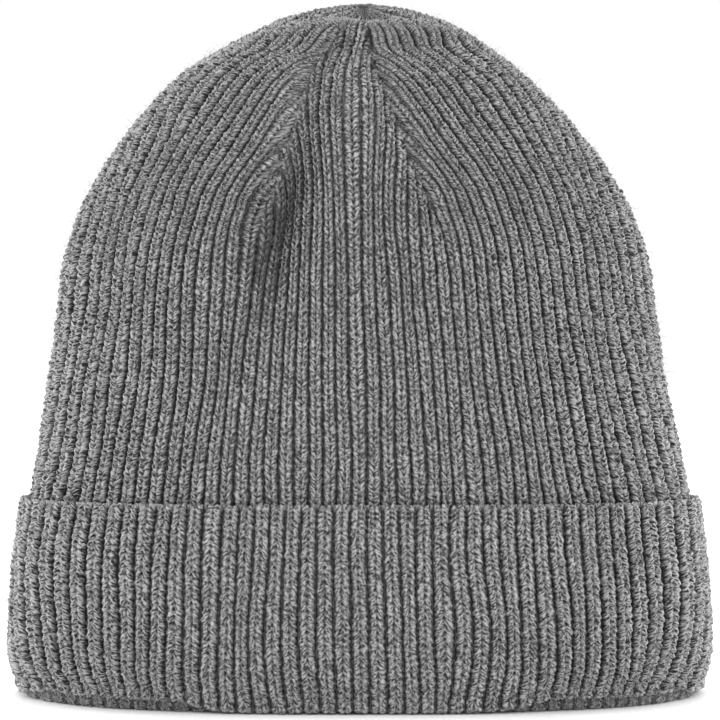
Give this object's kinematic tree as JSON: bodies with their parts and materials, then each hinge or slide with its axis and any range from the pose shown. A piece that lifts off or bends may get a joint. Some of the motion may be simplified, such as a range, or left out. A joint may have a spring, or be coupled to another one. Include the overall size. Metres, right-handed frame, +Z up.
{
  "type": "knit beanie",
  "caption": "Rib-knit beanie hat with a turned-up band, a four-dart domed crown and an open mouth for a head.",
  "frame": {"origin": "on the floor, under the middle of the oval foot of the turn-up", "axes": "+Z up towards the crown, the front faces -Y, +X to the right of someone looking at the front"},
  "size_m": [0.2206, 0.086, 0.2142],
  "materials": {
    "body_knit": "matt mottled heather grey rib knit",
    "crown_knit": "matt mottled heather grey rib knit, closer at the darts",
    "cuff_knit": "matt mottled heather grey rib knit, wider ribs",
    "linking_yarn": "matt grey linking stitches"
  },
  "bodies": {
    "hat": {"body_wall": "body_knit", "crown_front": "crown_knit", "crown_back": "crown_knit", "crown_left": "crown_knit", "crown_right": "crown_knit", "crown_closing": "crown_knit", "closing_knot": "linking_yarn", "dart_seam_front_left": "linking_yarn", "dart_seam_front_right": "linking_yarn", "dart_seam_back_left": "linking_yarn", "dart_seam_back_right": "linking_yarn", "back_seam_body": "linking_yarn", "back_seam_crown": "linking_yarn"},
    "cuff": {"cuff_band": "cuff_knit", "cuff_seam": "linking_yarn", "cuff_inner_layer": "cuff_knit", "cuff_fold": "cuff_knit", "cuff_edge": "cuff_knit"}
  },
  "joints": [
    {"name": "cuff_turn_down", "type": "slide", "parent": "hat", "child": "cuff", "axis": [0, 0, -1], "range_m": [0, 0.05]}
  ]
}
